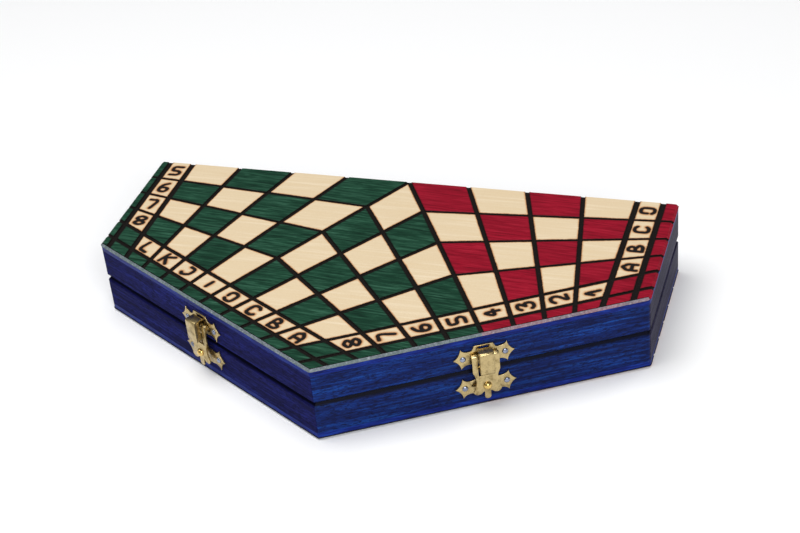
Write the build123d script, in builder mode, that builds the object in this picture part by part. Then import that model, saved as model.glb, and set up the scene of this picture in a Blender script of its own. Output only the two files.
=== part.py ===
from build123d import *
import os
from math import atan, atan2, cos, degrees, hypot, radians, sin

# A folding game box for three players, closed. Two shallow wooden trays stand rim to rim.
# Each is half a regular hexagon, cut through the middles of two opposite sides, and each
# carries half of the playing board on its outside. They open about the long fold edge.
# +X runs along the fold edge, the corner between the two front walls points to -Y, and +Z is up.
# The origin is under the middle of the box, on the plane that it stands on.

# Box
side = 164.0  # side of the open board's hexagon, outside
half_height = 20.75  # one tray with its board panel
board_thick = 4.0
wall_thick = 8.0
edge_bevel = 2.2  # on the board panel's outer edges, but not along the fold
split_bevel = 1.95  # on both rims, so that they meet in a V groove
side_corner_round = 2.5  # upright corners beside the two short walls
front_corner_round = 1.2  # upright corner between the two latch walls

# Burnt lines of the playing board
groove_depth = 0.45
field_side = 142.5  # side of the hexagon of playing squares
band_width = 12.8  # lettered band, from line to line
across_steps = (0.25, 0.5, 0.75)  # where the lines meet the middle lines and the sides
fold_steps = (0.28, 0.53, 0.775)  # where they meet the fold, a little further out
main_line = 2.0
fine_line = 1.4  # the lines that run more or less along the fold
front_band_line = 1.8
side_band_line = 2.6

# Latches, one in the middle of each front wall; heights are from the split between the trays
sheet = 0.8  # thickness of every stamped brass piece
nail_reach = 10.25  # from the middle of a plate to its nails
nail_height = 8.6
ear_tip = 15.0  # the star-shaped ears, across and up from the line of their nails
ear_point = 11.3
ear_half = 5.7
ear_hollow = 0.9
neck_reach = 5.7
neck_half = 4.0
neck_hollow = 1.1
plate_top_half = 4.6  # raised top of the strike plate
plate_top_rise = 6.3
lever_width = 13.2
rail_width = 2.65
rail_foot = 1.5
window_drop = 0.8
waist_half = 5.1
waist_drop = 4.8
lobe_half = 6.8
lobe_corner_drop = 9.6
lobe_drop = 11.6
lobe_middle = 4.2
notch_half = 2.1
notch_drop = 10.0
tongue_drop = 13.6
lever_tip = 15.9
lever_bow = 0.4  # of the curved edges round its waist and lobes
knob_radius = 1.95
knob_height = 1.4
knob_bevel = 0.7
knob_sides = 12
knob_drop = 6.9
lever_gap = 0.25  # between the strike plate and what moves in front of it
knuckle_radius = 1.3
knuckle_gap = 0.2
knuckle_sides = 16  # the rolled ends have flat facets
lever_pin_radius = 0.6
lever_pin_rise = 9.8
neck_plate_width = 4.6  # the base plate's tongue that rises behind the lever
neck_plate_head = 6.6
neck_plate_foot = 3.6
strap_width = 7.0
strap_front = 7.0  # how far its face stands from the wall
strap_top = 13.75
strap_bottom = 2.0
strap_inner_end = 1.6  # how near its top comes to the wall
strap_bend = 1.0
strap_pin_radius = 0.45
strap_pin_rise = 4.2
strap_eye_radius = 0.9
strap_lug_width = 1.3
lug_hole_sides = 8
hook_width = 4.8
hook_reach = 4.2
hook_gap = 0.25  # under the strap's top
hook_window = 1.3

# Nails and running fits
nail_radius = 0.6
nail_length = 6.5
nail_head_radius = 1.5
nail_head_height = 0.75
nail_head_bevel = 0.5
nail_head_sides = 16
nail_shank_sides = 8
nail_fit = 0.05
pin_fit = 0.05

# Hinges, let into the rims along the fold
hinge_inset = 54.0  # from each end of the fold to the hinge's middle
hinge_width = 25.0
hinge_knuckles = 3
barrel_sides = 12
barrel_radius = 1.2
hinge_pin_radius = 0.5
leaf_thick = 0.6
leaf_depth = 5.4
leaf_sink = 0.1  # below the rim
leaf_setback = 1.6  # from the fold face to the leaf's straight edge
fold_gap = 0.15  # from the fold face to the hinge line
mortise_fit = 0.1
hinge_nail_reach = 8.0
hinge_nail_radius = 0.5
hinge_nail_head = 1.0
hinge_nail_length = 6.0
hinge_nail_sides = 12

# Worked out from the sizes above
split = half_height
wall_height = half_height - board_thick
apothem = side * cos(radians(30))
field_apothem = field_side * cos(radians(30))
front_tip = side - front_corner_round * (1 / cos(radians(30)) - 1)
fold_y = (front_tip - fold_gap - barrel_radius) / 2
hinge_y = fold_y + fold_gap
hinge_place = apothem - hinge_inset
leaf_middle_y = fold_y - leaf_setback - leaf_depth / 2
centre = Vector(0, fold_y)


def corners(inset):
    """The five corners from the left end of the fold round to its right end, moved in by inset."""
    reach = apothem - inset
    slant = reach / cos(radians(30))
    return [
        Vector(-reach, fold_y - inset),
        Vector(-reach, fold_y - slant / 2),
        Vector(0, fold_y - slant),
        Vector(reach, fold_y - slant / 2),
        Vector(reach, fold_y - inset),
    ]


outer = corners(0)
inner = corners(wall_thick)


def save(piece, name):
    piece.part.label = name
    export_step(piece.part, "parts/" + name + ".step")


def outline_sketch():
    """The box's outline with its upright corners rounded."""
    with BuildSketch() as outline:
        Polygon(*[(p.X, p.Y) for p in outer], align=None)
        for corner, radius in ((1, side_corner_round), (2, front_corner_round), (3, side_corner_round)):
            near = outline.vertices().sort_by_distance(outer[corner])[0]
            fillet(near, radius)
    return outline.sketch


rounded = outline_sketch()
os.makedirs("parts", exist_ok=True)

# Playing board


def at_angle(radius, angle):
    """A point of the board's plan, from the middle of the open board."""
    return centre + Vector(radius * cos(radians(angle)), radius * sin(radians(angle)))


def between(start, end, share):
    return start + (end - start) * share


def kites():
    """The three four-sided fields of this half: middle, first side, hexagon corner, second side."""
    for first in (180, 240, 300):
        yield (
            centre,
            at_angle(field_apothem, first),
            at_angle(field_side, first + 30),
            at_angle(field_apothem, first + 60),
        )


def field_lines():
    """The lines between the squares as (start, end, width); each runs on to the board's edge."""
    lines = []
    for number, (middle, first, corner, second) in enumerate(kites()):
        first_steps = fold_steps if number == 0 else across_steps
        second_steps = fold_steps if number == 2 else across_steps
        from_first = fine_line if number == 2 else main_line
        from_second = fine_line if number == 0 else main_line
        for near, far in zip(first_steps, across_steps):
            lines.append((between(middle, first, near), between(second, corner, far), from_first))
        for near, far in zip(second_steps, across_steps):
            lines.append((between(middle, second, near), between(first, corner, far), from_second))
        if number < 2:
            lines.append((middle, second, main_line))
    return [(start, end + (end - start).normalized() * side, width) for start, end, width in lines]


def band_lines():
    """The two lines along each side, right across the board."""
    lines = []
    widths = (side_band_line, front_band_line, front_band_line, side_band_line)
    for angle, width in zip((180, 240, 300, 360), widths):
        along = Vector(-sin(radians(angle)), cos(radians(angle))) * side
        for reach in (field_apothem, field_apothem + band_width):
            middle = at_angle(reach, angle)
            lines.append((middle - along, middle + along, width))
    return lines


def panel(thickness):
    """The upper board's plain panel with its bevel, up to the given thickness."""
    base = Plane.XY.offset(split + wall_height)
    with BuildPart() as plain:
        with BuildSketch(base):
            Polygon(*[(p.X, p.Y) for p in outer], align=None)
        extrude(amount=thickness)
        top_edges = plain.edges().group_by(Axis.Z)[-1].sort_by(Axis.Y)
        chamfer(top_edges[:-1], edge_bevel)
        with BuildSketch(base):
            add(rounded)
        extrude(amount=thickness, mode=Mode.INTERSECT)
    return plain.part


with BuildPart() as upper_board:
    add(panel(board_thick))
    with BuildSketch(Plane.XY.offset(split + wall_height)):
        for start, end, width in field_lines() + band_lines():
            run = end - start
            middle = between(start, end, 0.5)
            with Locations(Location((middle.X, middle.Y, 0), (0, 0, degrees(atan2(run.Y, run.X))))):
                Rectangle(run.length, width)
    extrude(amount=board_thick, mode=Mode.SUBTRACT)
    add(panel(board_thick - groove_depth))
save(upper_board, "upper_board")

with BuildPart() as lower_board:
    mirror(upper_board.part, about=Plane.XY.offset(split))
save(lower_board, "lower_board")

# Hinges


def knuckle_spans(first):
    """Middle and length of every second knuckle of the barrel, from the given one on."""
    pitch = hinge_width / hinge_knuckles
    for number in range(first, hinge_knuckles, 2):
        yield (number + 0.5) * pitch - hinge_width / 2, pitch - knuckle_gap


def leaf_nails(place, up, grow):
    """The two countersunk nails of a leaf, or their holes when grown by the fit."""
    slope = degrees(atan((hinge_nail_head - hinge_nail_radius) / leaf_thick))
    spots = [(place + reach, leaf_middle_y) for reach in (-hinge_nail_reach, hinge_nail_reach)]
    with BuildPart() as nails:
        for radius, length, taper in (
            (hinge_nail_head + grow, leaf_thick, slope),
            (hinge_nail_radius + grow, hinge_nail_length, 0),
        ):
            with BuildSketch(Plane.XY.offset(split + leaf_sink)):
                with Locations(*spots):
                    RegularPolygon(radius, hinge_nail_sides)
            extrude(amount=length, taper=taper)
    if up < 0:
        return nails.part.mirror(Plane.XY.offset(split))
    return nails.part


def hinge_leaf(place, up, first):
    """One leaf; up is 1 in the upper rim and -1 in the lower rim."""
    with BuildPart() as leaf:
        with BuildSketch(Plane.XY.offset(split + up * leaf_sink)):
            with Locations((place, leaf_middle_y)):
                Rectangle(hinge_width, leaf_depth)
            for middle, length in knuckle_spans(first):
                with Locations((place + middle, hinge_y)):
                    Rectangle(length, 2 * (leaf_setback + fold_gap))
        extrude(amount=up * leaf_thick)
        with BuildSketch(Plane.XY.offset(split + up * leaf_sink)):
            with Locations((place, hinge_y + hinge_width / 2)):
                Rectangle(2 * hinge_width, hinge_width)
        extrude(amount=up * leaf_thick, mode=Mode.SUBTRACT)
        for middle, length in knuckle_spans(first):
            with BuildSketch(Plane.YZ.offset(place + middle)):
                with Locations((hinge_y, split)):
                    RegularPolygon(barrel_radius, barrel_sides)
            extrude(amount=length / 2, both=True)
        with BuildSketch(Plane.YZ.offset(place)):
            with Locations((hinge_y, split)):
                Circle(hinge_pin_radius + pin_fit)
        extrude(amount=hinge_width, both=True, mode=Mode.SUBTRACT)
        add(leaf_nails(place, up, nail_fit), mode=Mode.SUBTRACT)
    return leaf


def hinge_pin(place):
    with BuildPart() as pin:
        with BuildSketch(Plane.YZ.offset(place)):
            with Locations((hinge_y, split)):
                Circle(hinge_pin_radius)
        extrude(amount=(hinge_width - knuckle_gap) / 2, both=True)
    return pin


for label, place in (("left", -hinge_place), ("right", hinge_place)):
    save(hinge_leaf(place, 1, 0), label + "_hinge_upper_leaf")
    save(hinge_leaf(place, -1, 1), label + "_hinge_lower_leaf")
    save(hinge_pin(place), label + "_hinge_pin")
    for half, up in (("upper", 1), ("lower", -1)):
        with BuildPart() as nails:
            add(leaf_nails(place, up, 0))
        save(nails, label + "_hinge_" + half + "_nails")

# Latches


def front_face(start, end):
    """A plane on the outside of a front wall: x along it, y up from the split, z out of it."""
    middle = between(outer[start], outer[end], 0.5)
    along = (outer[end] - outer[start]).normalized()
    return Plane(
        origin=(middle.X, middle.Y, split),
        x_dir=(along.X, along.Y, 0),
        z_dir=(along.Y, -along.X, 0),
    )


def side_view(face):
    """A plane square to the wall, through the latch's middle: x out of the wall and y up."""
    return Plane(origin=face.origin, x_dir=face.z_dir, z_dir=-face.x_dir)


lever_pin_out = sheet + lever_gap + knuckle_radius
lever_back = lever_pin_out + knuckle_radius - sheet
lever_front = lever_back + sheet
strap_pin_out = lever_front - strap_eye_radius
neck_plate_back = sheet + lever_gap
rail_inside = lever_width / 2 - rail_width
hook_height = strap_top - sheet - hook_gap


def ear_edge(level):
    """The right half of a plate's edge, round its star-shaped ear, from the upper neck to the lower."""
    SagittaArc((neck_reach, level + neck_half), (ear_point, level + ear_half), -neck_hollow)
    SagittaArc((ear_point, level + ear_half), (ear_tip, level), -ear_hollow)
    SagittaArc((ear_tip, level), (ear_point, level - ear_half), -ear_hollow)
    SagittaArc((ear_point, level - ear_half), (neck_reach, level - neck_half), -neck_hollow)


def nail_holes(face, level, amount):
    """Cuts the two nail holes of a plate out of the piece in hand."""
    with BuildSketch(face) as holes:
        with Locations((-nail_reach, level), (nail_reach, level)):
            RegularPolygon(nail_radius + nail_fit, nail_shank_sides)
    extrude(holes.sketch, amount=amount, mode=Mode.SUBTRACT)


def strike_plate(face):
    """The upper plate, with the hook that the strap's top lies on."""
    with BuildPart() as plate:
        with BuildSketch(face):
            with BuildLine():
                top = nail_height + plate_top_rise
                Polyline((0, top), (plate_top_half, top), (neck_reach, nail_height + neck_half))
                ear_edge(nail_height)
                Line((neck_reach, nail_height - neck_half), (0, nail_height - neck_half))
                mirror(about=Plane.YZ)
            make_face()
            with Locations((0, hook_height + hook_window / 2)):
                Rectangle(hook_width, hook_window, mode=Mode.SUBTRACT)
        extrude(amount=sheet)
        with BuildSketch(face):
            with Locations((0, hook_height - sheet / 2)):
                Rectangle(hook_width, sheet)
        extrude(amount=hook_reach)
        nail_holes(face, nail_height, sheet)
    return plate


def base_plate(face):
    """The lower plate, whose tongue rises behind the lever and ends in the middle knuckle."""
    front = neck_plate_back + sheet
    with BuildPart() as plate:
        with BuildSketch(face):
            with BuildLine():
                Line((0, neck_half - nail_height), (neck_reach, neck_half - nail_height))
                ear_edge(-nail_height)
                Line((neck_reach, -neck_half - nail_height), (0, -neck_half - nail_height))
                mirror(about=Plane.YZ)
            make_face()
        extrude(amount=sheet)
        nail_holes(face, -nail_height, sheet)
        with BuildSketch(side_view(face)):
            Polygon(
                (0, -nail_height),
                (sheet, -nail_height),
                (sheet, -neck_plate_foot),
                (front, -neck_plate_foot + neck_plate_back),
                (front, lever_pin_rise),
                (neck_plate_back, lever_pin_rise),
                (neck_plate_back, -neck_plate_foot + neck_plate_back + sheet / 2),
                (0, -neck_plate_foot + sheet / 2),
                align=None,
            )
        extrude(amount=neck_plate_width / 2, both=True)
        with BuildSketch(side_view(face)):
            with Locations((lever_pin_out, lever_pin_rise)):
                RegularPolygon(knuckle_radius, knuckle_sides)
            with Locations((neck_plate_back + sheet / 2, lever_pin_rise - knuckle_radius)):
                Rectangle(sheet, 2 * knuckle_radius)
        extrude(amount=neck_plate_head / 2, both=True)
        with BuildSketch(side_view(face)):
            with Locations((lever_pin_out, lever_pin_rise)):
                Circle(lever_pin_radius + pin_fit)
        extrude(amount=neck_plate_head, both=True, mode=Mode.SUBTRACT)
    return plate


def lever(face):
    """The flat lever: two rails with knuckles, a window for the strap, a waist, lobes and a tongue."""
    half = lever_width / 2
    with BuildPart() as piece:
        with BuildSketch(face.offset(lever_back)):
            with BuildLine():
                Polyline(
                    (0, -window_drop),
                    (rail_inside, -window_drop),
                    (rail_inside, lever_pin_rise),
                    (half, lever_pin_rise),
                    (half, rail_foot),
                )
                SagittaArc((half, rail_foot), (waist_half, -waist_drop), -lever_bow)
                SagittaArc((waist_half, -waist_drop), (lobe_half, -lobe_corner_drop), -lever_bow)
                SagittaArc((lobe_half, -lobe_corner_drop), (lobe_middle, -lobe_drop), 2 * lever_bow)
                SagittaArc((lobe_middle, -lobe_drop), (notch_half, -notch_drop), lever_bow)
                Line((notch_half, -notch_drop), (notch_half, -tongue_drop))
                SagittaArc((notch_half, -tongue_drop), (0, -lever_tip), 2 * lever_bow)
                mirror(about=Plane.YZ)
            make_face()
        extrude(amount=sheet)
        for way in (-1, 1):
            with BuildSketch(side_view(face).offset(way * (neck_plate_head / 2 + knuckle_gap))):
                with Locations((lever_pin_out, lever_pin_rise)):
                    RegularPolygon(knuckle_radius, knuckle_sides)
            extrude(amount=way * (half - neck_plate_head / 2 - knuckle_gap))
            with BuildSketch(side_view(face).offset(way * rail_inside)):
                with Locations((strap_pin_out, strap_pin_rise)):
                    Rectangle(2 * strap_eye_radius, 2 * strap_eye_radius)
            extrude(amount=way * strap_lug_width)
        with BuildSketch(side_view(face)):
            with Locations((lever_pin_out, lever_pin_rise)):
                Circle(lever_pin_radius + pin_fit)
            with Locations((strap_pin_out, strap_pin_rise)):
                RegularPolygon(strap_pin_radius + nail_fit, lug_hole_sides, major_radius=False)
        extrude(amount=lever_width, both=True, mode=Mode.SUBTRACT)
        with BuildSketch(face.offset(lever_front)):
            with Locations((0, -knob_drop)):
                RegularPolygon(knob_radius, knob_sides)
        extrude(amount=knob_height)
        knob_top = piece.faces().filter_by(GeomType.PLANE).sort_by(Axis(face.origin, face.z_dir))[-1]
        chamfer(knob_top.edges(), knob_bevel)
    return piece


def strap(face):
    """The bent strap: a channel with its face out, its sides on the lower pin and its top turned in."""
    back = lever_front + lever_gap + sheet / 2
    bend_foot = lever_pin_rise - 2 * knuckle_radius
    eye_low = strap_pin_rise - strap_eye_radius
    with BuildPart() as piece:
        with BuildSketch(side_view(face)):
            Polygon(
                (strap_pin_out, eye_low),
                (strap_front, strap_bottom),
                (strap_front, strap_top),
                (strap_inner_end, strap_top),
                (strap_inner_end, strap_top - sheet),
                (back, strap_top - sheet),
                (back, bend_foot),
                (strap_pin_out - strap_eye_radius, strap_pin_rise),
                align=None,
            )
            with Locations((strap_pin_out, strap_pin_rise)):
                Circle(strap_eye_radius)
        extrude(amount=strap_width / 2, both=True)
        front_edges = piece.edges().filter_by(Axis(face.origin, face.x_dir))
        top_front = face.offset(strap_front).origin + Vector(0, 0, strap_top)
        fillet(front_edges.sort_by_distance(top_front)[0], strap_bend)
        with BuildSketch(side_view(face)):
            Polygon(
                (0, 0),
                (strap_front - sheet, 0),
                (strap_front - sheet, strap_top - sheet),
                (0, strap_top - sheet),
                align=None,
            )
        extrude(amount=strap_width / 2 - sheet, both=True, mode=Mode.SUBTRACT)
        with BuildSketch(side_view(face)):
            with Locations((strap_pin_out, strap_pin_rise)):
                Circle(strap_pin_radius + pin_fit)
        extrude(amount=strap_width, both=True, mode=Mode.SUBTRACT)
    return piece


def cross_pin(face, out, rise, radius, length):
    with BuildPart() as pin:
        with BuildSketch(side_view(face)):
            with Locations((out, rise)):
                Circle(radius)
        extrude(amount=length / 2, both=True)
    return pin


def plate_nails(face, level):
    """The two round-headed nails of a plate."""
    places = ((-nail_reach, level), (nail_reach, level))
    with BuildPart() as nails:
        with BuildSketch(face.offset(sheet)):
            with Locations(*places):
                RegularPolygon(nail_head_radius, nail_head_sides)
        extrude(amount=nail_head_height)
        tops = nails.faces().sort_by(Axis(face.origin, face.z_dir))[-2:]
        chamfer(tops.edges(), nail_head_bevel)
        with BuildSketch(face.offset(sheet)):
            with Locations(*places):
                RegularPolygon(nail_radius, nail_shank_sides)
        extrude(amount=-nail_length)
    return nails


faces = {"left": front_face(1, 2), "right": front_face(2, 3)}
for label, face in faces.items():
    save(strike_plate(face), label + "_latch_strike_plate")
    save(base_plate(face), label + "_latch_base_plate")
    save(lever(face), label + "_latch_lever")
    save(strap(face), label + "_latch_strap")
    lever_pin = cross_pin(face, lever_pin_out, lever_pin_rise, lever_pin_radius, lever_width)
    save(lever_pin, label + "_latch_lever_pin")
    strap_pin_length = 2 * (rail_inside + strap_lug_width)
    strap_pin = cross_pin(face, strap_pin_out, strap_pin_rise, strap_pin_radius, strap_pin_length)
    save(strap_pin, label + "_latch_strap_pin")
    save(plate_nails(face, nail_height), label + "_latch_strike_nails")
    save(plate_nails(face, -nail_height), label + "_latch_base_nails")

# Side walls


def wall(start, end, up):
    """One mitred wall from corner to corner; up is 1 in the upper tray and -1 in the lower tray."""
    foot = [outer[start], outer[end], inner[end], inner[start]]
    rim = Plane.XY.offset(split)
    middle = between(outer[start], outer[end], 0.5)
    with BuildPart() as piece:
        with BuildSketch(rim):
            Polygon(*[(p.X, p.Y) for p in foot], align=None)
        extrude(amount=up * wall_height)
        rim_edge = piece.edges().sort_by_distance(Vector(middle.X, middle.Y, split))[0]
        chamfer(rim_edge, split_bevel)
        with BuildSketch(rim):
            add(rounded)
        extrude(amount=up * wall_height, mode=Mode.INTERSECT)
        if outer[start].Y == outer[end].Y == fold_y:
            mortise_depth = leaf_setback + leaf_depth + mortise_fit
            for place in (-hinge_place, hinge_place):
                with BuildSketch(rim):
                    with Locations((place, fold_y - mortise_depth / 2)):
                        Rectangle(hinge_width + 2 * mortise_fit, mortise_depth)
                extrude(amount=up * (leaf_sink + leaf_thick), mode=Mode.SUBTRACT)
                add(leaf_nails(place, up, nail_fit), mode=Mode.SUBTRACT)
        for face in faces.values():
            if (face.origin - Vector(middle.X, middle.Y, split)).length < wall_thick:
                nail_holes(face, up * nail_height, sheet - nail_length - nail_fit)
    return piece


for half, up in (("upper", 1), ("lower", -1)):
    for start, label in enumerate(("left", "front_left", "front_right", "right", "back")):
        end = (start + 1) % len(outer)
        save(wall(start, end, up), half + "_wall_" + label)
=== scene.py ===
# %% [markdown]
# # A folding chess board for three players
# The real thing is a shallow wooden box. Its plan is half a regular hexagon, because it is a
# hexagonal board folded shut, with the squares on the outside. This lesson dresses the packed
# CAD model: it keeps what is already right, such as the walls, and remakes what needs finer
# work, such as the burnt squares and the brass latches.

import math

import bmesh
import bpy
import numpy as np
from mathutils import Matrix, Vector


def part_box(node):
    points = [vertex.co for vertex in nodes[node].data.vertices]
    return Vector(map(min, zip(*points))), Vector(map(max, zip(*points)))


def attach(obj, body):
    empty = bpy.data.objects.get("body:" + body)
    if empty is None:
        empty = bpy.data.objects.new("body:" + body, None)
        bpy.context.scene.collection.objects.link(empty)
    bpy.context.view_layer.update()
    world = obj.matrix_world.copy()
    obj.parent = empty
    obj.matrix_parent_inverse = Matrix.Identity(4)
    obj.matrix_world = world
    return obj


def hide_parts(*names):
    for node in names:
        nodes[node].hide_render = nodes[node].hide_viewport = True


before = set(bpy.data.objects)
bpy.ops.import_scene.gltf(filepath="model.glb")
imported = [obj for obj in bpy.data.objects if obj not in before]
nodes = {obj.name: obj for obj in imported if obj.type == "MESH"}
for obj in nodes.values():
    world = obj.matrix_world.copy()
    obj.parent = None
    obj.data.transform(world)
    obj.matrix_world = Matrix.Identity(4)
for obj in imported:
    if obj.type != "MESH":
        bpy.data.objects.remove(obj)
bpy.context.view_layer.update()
scene = bpy.context.scene

# %% [markdown]
# ## Sizes
# Blender works in metres, but a box of this size is easier to think about in millimetres. The
# plan is measured from the middle of the open board, a point on the fold. Here x runs along the
# fold, and this half of the board lies at negative y.

# %% Sizes in millimetres
MM = 0.001
SIDE = 164.0
APOTHEM = SIDE * math.cos(math.radians(30))
board_low, board_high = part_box("upper_board")
FOLD_Y = board_high.y / MM
TOP = board_high.z / MM
PANEL = (board_high.z - board_low.z) / MM
SPLIT = TOP / 2
BEVEL, CAD_BEVEL = 1.1, 2.2
GROOVE = 0.45
FRONT_ROUND, SIDE_ROUND = 1.2, 2.5
FRONT_FIELD, LEFT_FIELD, RIGHT_FIELD = 122.2, 123.4, 121.4
FRONT_BAND, SIDE_BAND = 12.2, 13.2
MAIN_LINE, FINE_LINE, FRONT_LINE, SIDE_LINE = 2.0, 1.4, 1.8, 2.6
EVEN_STEPS = (0.25, 0.5, 0.75)
LEFT_STEPS, RIGHT_STEPS = (0.28, 0.53, 0.775), (0.266, 0.525, 0.768)
print(f"fold at y {FOLD_Y:.2f}, top at z {TOP:.2f}, panel {PANEL:.2f} mm")


def unit(angle):
    """The plan's direction at an angle in degrees."""
    return Vector((math.cos(math.radians(angle)), math.sin(math.radians(angle))))


def srgb(red, green, blue):
    """A colour on the 0 to 255 scale, in the linear values that shaders use."""
    return tuple(((c / 255 + 0.055) / 1.055) ** 2.4 for c in (red, green, blue)) + (1.0,)


def add_object(name, data):
    """A new object in the scene, which holds the data."""
    made = bpy.data.objects.new(name, data)
    scene.collection.objects.link(made)
    return made


# %% [markdown]
# ## Camera
# The camera comes first, so that every later render can be laid beside the photograph. Its
# place was found by fitting the board's corners: a long lens, 34 degrees up and 20 degrees to
# the right, turned a little about its own line of sight.

# %% Camera
def place_camera():
    azimuth, elevation, roll = (math.radians(a) for a in (19.789, 34.152, -5.871))
    distance = 5.326 * SIDE
    target = Vector((0.1004 * SIDE, -0.4486 * SIDE + FOLD_Y, TOP - CAD_BEVEL))
    focus_pixels, photo_pixels = 1770.8, 800
    back = Vector((
        math.sin(azimuth) * math.cos(elevation),
        -math.cos(azimuth) * math.cos(elevation),
        math.sin(elevation),
    ))
    right = Vector((math.cos(azimuth), math.sin(azimuth), 0))
    up = back.cross(right)
    turned_right = right * math.cos(roll) + up * math.sin(roll)
    turned_up = up * math.cos(roll) - right * math.sin(roll)
    lens = bpy.data.cameras.new("photo_camera")
    lens.sensor_width = 36
    lens.lens = focus_pixels * lens.sensor_width / photo_pixels
    lens.clip_start, lens.clip_end = 0.05, 20
    camera = add_object("photo_camera", lens)
    turn = Matrix((turned_right, turned_up, back)).transposed()
    camera.matrix_world = Matrix.Translation((target + back * distance) * MM) @ turn.to_4x4()
    scene.camera = camera
    return camera


camera = place_camera()
print("camera at", [round(v, 3) for v in camera.location])

# %% [markdown]
# ## Materials
# Every finish is procedural. A small helper makes a material with its main shader, and another
# adds a node and joins its inputs, so that each recipe below reads as a list of steps.

# %% Helpers for shader nodes
def material(name, **settings):
    """A new material, its node tree and its main shader, whose sockets are set by name."""
    made = bpy.data.materials.new(name)
    made.use_nodes = True
    shader = made.node_tree.nodes["Principled BSDF"]
    for socket, value in settings.items():
        shader.inputs[socket.replace("_", " ")].default_value = value
    return made, made.node_tree, shader


def add_node(tree, kind, inputs=(), **settings):
    """Adds a node; inputs are (socket, value or other node's output) pairs."""
    made = tree.nodes.new(kind)
    for key, value in settings.items():
        setattr(made, key, value)
    for socket, value in dict(inputs).items():
        if isinstance(value, bpy.types.NodeSocket):
            tree.links.new(value, made.inputs[socket])
        else:
            made.inputs[socket].default_value = value
    return made


# %% Helpers for patterns and blends
def ramp(tree, factor, stops):
    """A colour ramp; stops are (position, colour)."""
    made = add_node(tree, "ShaderNodeValToRGB", {0: factor})
    points = made.color_ramp.elements
    while len(points) < len(stops):
        points.new(0.5)
    for point, (position, colour) in zip(points, stops):
        point.position = position
        point.color = colour
    return made.outputs["Color"]


def stretch(tree, turn, scale):
    """Object coordinates turned about z by the first value, then scaled; units are metres."""
    place = add_node(tree, "ShaderNodeTexCoord")
    turned = add_node(tree, "ShaderNodeMapping", {0: place.outputs["Object"], 2: (0, 0, turn)})
    scaled = add_node(tree, "ShaderNodeMapping", {0: turned.outputs[0], 3: scale})
    return scaled.outputs[0]


def noise(tree, vector, detail=4.0, rough=0.55, twist=0.0):
    """Noise whose size is set by the vector's own scale."""
    made = add_node(tree, "ShaderNodeTexNoise", {
        "Vector": vector,
        "Scale": 1.0,
        "Detail": detail,
        "Roughness": rough,
        "Distortion": twist,
    })
    return made.outputs[0]


def math_node(tree, operation, *values):
    made = add_node(tree, "ShaderNodeMath", dict(enumerate(values)), operation=operation)
    return made.outputs[0]


def fade(tree, value, start, end, low=0.0, high=1.0):
    """A smooth step from low to high as the value goes from start to end."""
    made = add_node(
        tree,
        "ShaderNodeMapRange",
        {"Value": value, "From Min": start, "From Max": end, "To Min": low, "To Max": high},
        interpolation_type="SMOOTHSTEP",
    )
    return made.outputs[0]


def blend_colours(tree, factor, first, second):
    made = add_node(tree, "ShaderNodeMix", {0: factor, 6: first, 7: second}, data_type="RGBA")
    return made.outputs[2]


def bump(tree, shader, height, distance, strength=1.0):
    made = add_node(
        tree, "ShaderNodeBump", {"Height": height, "Distance": distance, "Strength": strength}
    )
    tree.links.new(made.outputs[0], shader.inputs["Normal"])


# %% [markdown]
# ## Playing surface finishes
# The board is pale birch plywood under lacquer. A hot iron burnt the lines and the characters,
# which left a black groove, a thin brown edge and an amber glow on the pale squares. The other
# squares are stained over the same grain. The mesh carries two distances in millimetres,
# from_edge and from_stroke, and the shader turns them into the scorch.

# %% The scorch
BLACK = (0.004, 0.0025, 0.002, 1)
BIRCH = srgb(220, 200, 167)


def scorch(tree, edge_amber, stroke_amber):
    """Returns how charred and how amber the wood is, from 0 to 1."""
    edge = add_node(tree, "ShaderNodeAttribute", attribute_name="from_edge").outputs["Fac"]
    stroke = add_node(tree, "ShaderNodeAttribute", attribute_name="from_stroke").outputs["Fac"]
    ragged = noise(tree, stretch(tree, 0, (900, 900, 900)), detail=3)
    cloudy = noise(tree, stretch(tree, 0, (160, 160, 160)), detail=2)
    shake = math_node(tree, "MULTIPLY_ADD", ragged, 0.5, -0.25)
    edge = math_node(tree, "ADD", edge, shake)
    stroke = math_node(tree, "ADD", stroke, shake)
    char = math_node(tree, "MAXIMUM", fade(tree, edge, 0.3, 0.05), fade(tree, stroke, 0.24, 0.0))
    reach = math_node(tree, "MULTIPLY_ADD", cloudy, 1.3, 0.35)
    glow_edge = fade(tree, math_node(tree, "DIVIDE", edge, reach), edge_amber, 0.1)
    glow_stroke = fade(tree, math_node(tree, "DIVIDE", stroke, reach), stroke_amber, 0.0)
    return char, math_node(tree, "MAXIMUM", glow_edge, glow_stroke)


# %% Birch and stained squares
def pale_square():
    made, tree, shader = material("birch_lacquered", Roughness=0.45, Specular_IOR_Level=0.25)
    long_grain = noise(tree, stretch(tree, 0, (22, 620, 620)), detail=5, twist=0.4)
    fibres = noise(tree, stretch(tree, 0.04, (110, 2600, 2600)), detail=3)
    wood = ramp(tree, long_grain, [
        (0.28, srgb(219, 197, 161)), (0.52, BIRCH), (0.76, srgb(232, 215, 186)),
    ])
    wood = blend_colours(tree, fade(tree, fibres, 0.6, 0.78, 0, 0.3), wood, srgb(190, 150, 98))
    grains = noise(tree, stretch(tree, 0, (1300, 1900, 1900)), detail=3, rough=0.8)
    wood = blend_colours(tree, fade(tree, grains, 0.35, 0.7, 0.22, 0), wood, srgb(192, 166, 126))
    char, glow = scorch(tree, 1.2, 1.9)
    wood = blend_colours(tree, math_node(tree, "MULTIPLY", glow, 0.7), wood, srgb(196, 128, 56))
    deep = math_node(tree, "POWER", glow, 7)
    wood = blend_colours(tree, deep, wood, srgb(110, 56, 22))
    wood = blend_colours(tree, char, wood, BLACK)
    tree.links.new(wood, shader.inputs["Base Color"])
    bump(tree, shader, fibres, 0.00004, 0.35)
    return made


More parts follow.
